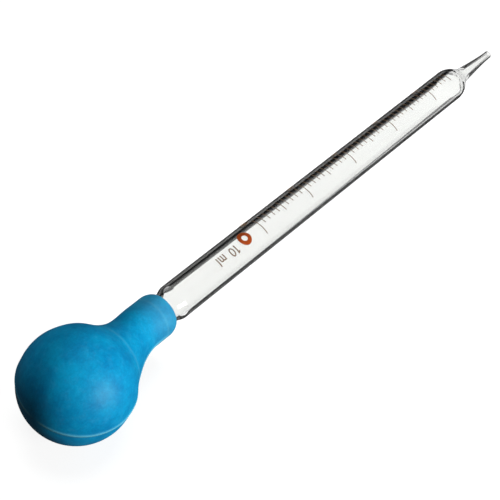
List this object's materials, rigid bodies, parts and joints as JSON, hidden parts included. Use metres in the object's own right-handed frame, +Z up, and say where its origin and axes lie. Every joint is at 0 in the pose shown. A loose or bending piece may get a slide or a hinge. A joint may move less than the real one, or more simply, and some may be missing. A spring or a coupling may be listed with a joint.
{
  "type": "graduated dropper pipette",
  "caption": "Graduated glass dropper pipette with a drawn tip, a fired enamel scale and a leaning pear-shaped blue rubber bulb, lying down.",
  "frame": {"origin": "centre of the whole pipette's outline, on the surface it lies on", "axes": "+X along the pipette towards the glass tip (the glass slopes 3.4 degrees down that way, because it rests on the bulb and on the lower end of the barrel), +Z up, +Y to the side away from the one the bulb leans to"},
  "size_m": [0.25, 0.0364, 0.0364],
  "materials": {
    "clear_glass": "polished",
    "blue_rubber": "satin",
    "brown_enamel": "satin",
    "orange_enamel": "satin"
  },
  "bodies": {
    "glass": {"glass_tube": "clear_glass", "scale_long_lines": "brown_enamel", "scale_half_lines": "brown_enamel", "scale_short_lines": "brown_enamel", "scale_numerals": "brown_enamel", "capacity_mark": "brown_enamel", "colour_ring": "orange_enamel"},
    "bulb": {"rubber_bulb": "blue_rubber"}
  },
  "joints": [
    {"name": "bulb_pull_off", "type": "slide", "parent": "glass", "child": "bulb", "axis": [-0.9982, 0, 0.0594], "range_m": [0, 0.03]}
  ]
}
